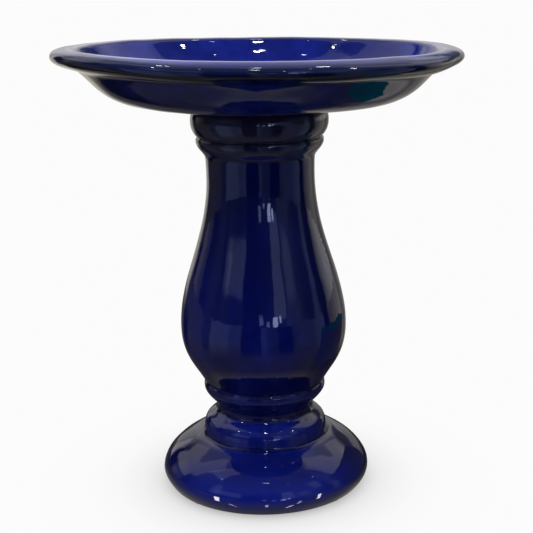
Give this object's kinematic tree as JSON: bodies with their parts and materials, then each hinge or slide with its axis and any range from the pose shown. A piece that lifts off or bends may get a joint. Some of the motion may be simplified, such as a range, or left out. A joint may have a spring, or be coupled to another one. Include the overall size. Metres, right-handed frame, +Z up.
{
  "type": "bird bath",
  "caption": "Glazed stoneware bird bath: shallow round basin with a rolled rim, resting loose on a hollow baluster pedestal with collar beads and a spreading foot.",
  "frame": {"origin": "on the ground, under the middle of the foot", "axes": "+Z up, along the axis of revolution of pedestal and basin; +X to the right and +Y away from a viewer at the front"},
  "size_m": [0.4646, 0.4646, 0.524],
  "materials": {
    "pedestal_glaze": "glossy cobalt glaze, darker where it pools in the grooves, unglazed tan stoneware on the foot ring and inside",
    "bowl_glaze": "glossy cobalt glaze inside and out, unglazed tan stoneware on the seat and spigot ring",
    "seat_rubber": "matte black sheet rubber",
    "pad_rubber": "translucent grey self-adhesive rubber"
  },
  "bodies": {
    "base": {"pedestal": "pedestal_glaze", "foot_pad_1": "pad_rubber", "foot_pad_2": "pad_rubber", "foot_pad_3": "pad_rubber", "foot_pad_4": "pad_rubber"},
    "seat": {"seat_ring": "seat_rubber"},
    "basin": {"bowl": "bowl_glaze"}
  },
  "joints": [
    {"name": "bowl_turn", "type": "hinge", "parent": "base", "child": "seat", "pos_m": [0, 0, 0.4544], "axis": [0, 0, 1], "continuous": true},
    {"name": "bowl_lift", "type": "slide", "parent": "seat", "child": "basin", "axis": [0, 0, 1], "range_m": [0, 0.16]}
  ]
}
